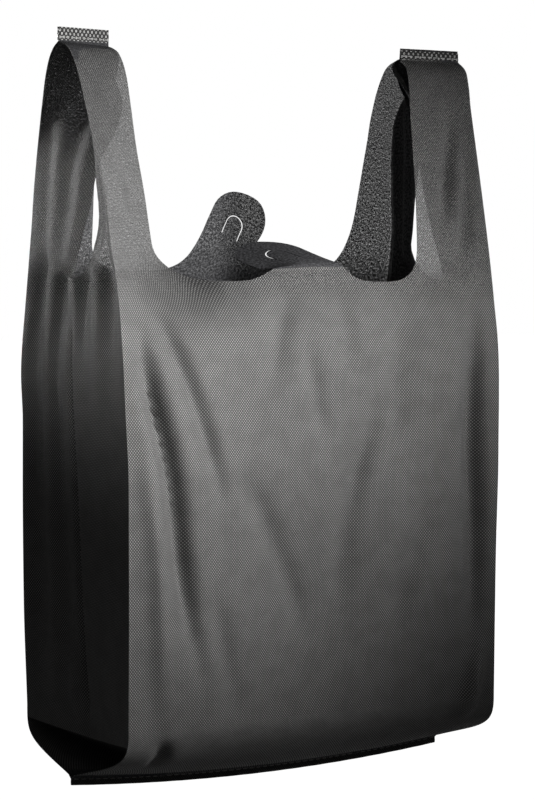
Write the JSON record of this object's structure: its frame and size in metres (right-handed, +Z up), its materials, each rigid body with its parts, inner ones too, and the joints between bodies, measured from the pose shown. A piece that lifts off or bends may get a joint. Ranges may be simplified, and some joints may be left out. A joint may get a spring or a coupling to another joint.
{
  "type": "vest carrier bag",
  "caption": "Open vest carrier bag of thin black non-woven cloth, with side gussets, a welded V base, welded arched handles and slit hang tabs in its scoops.",
  "frame": {"origin": "hanging point, midway between the undersides of the two handles", "axes": "+X along the front panel to the right, +Y to the back panel, +Z up"},
  "size_m": [0.322, 0.16, 0.538],
  "materials": {
    "cloth": "thin black spunbond cloth with an embossed bond pattern"
  },
  "bodies": {
    "root": {"carrier_bag": "cloth"}
  },
  "joints": []
}
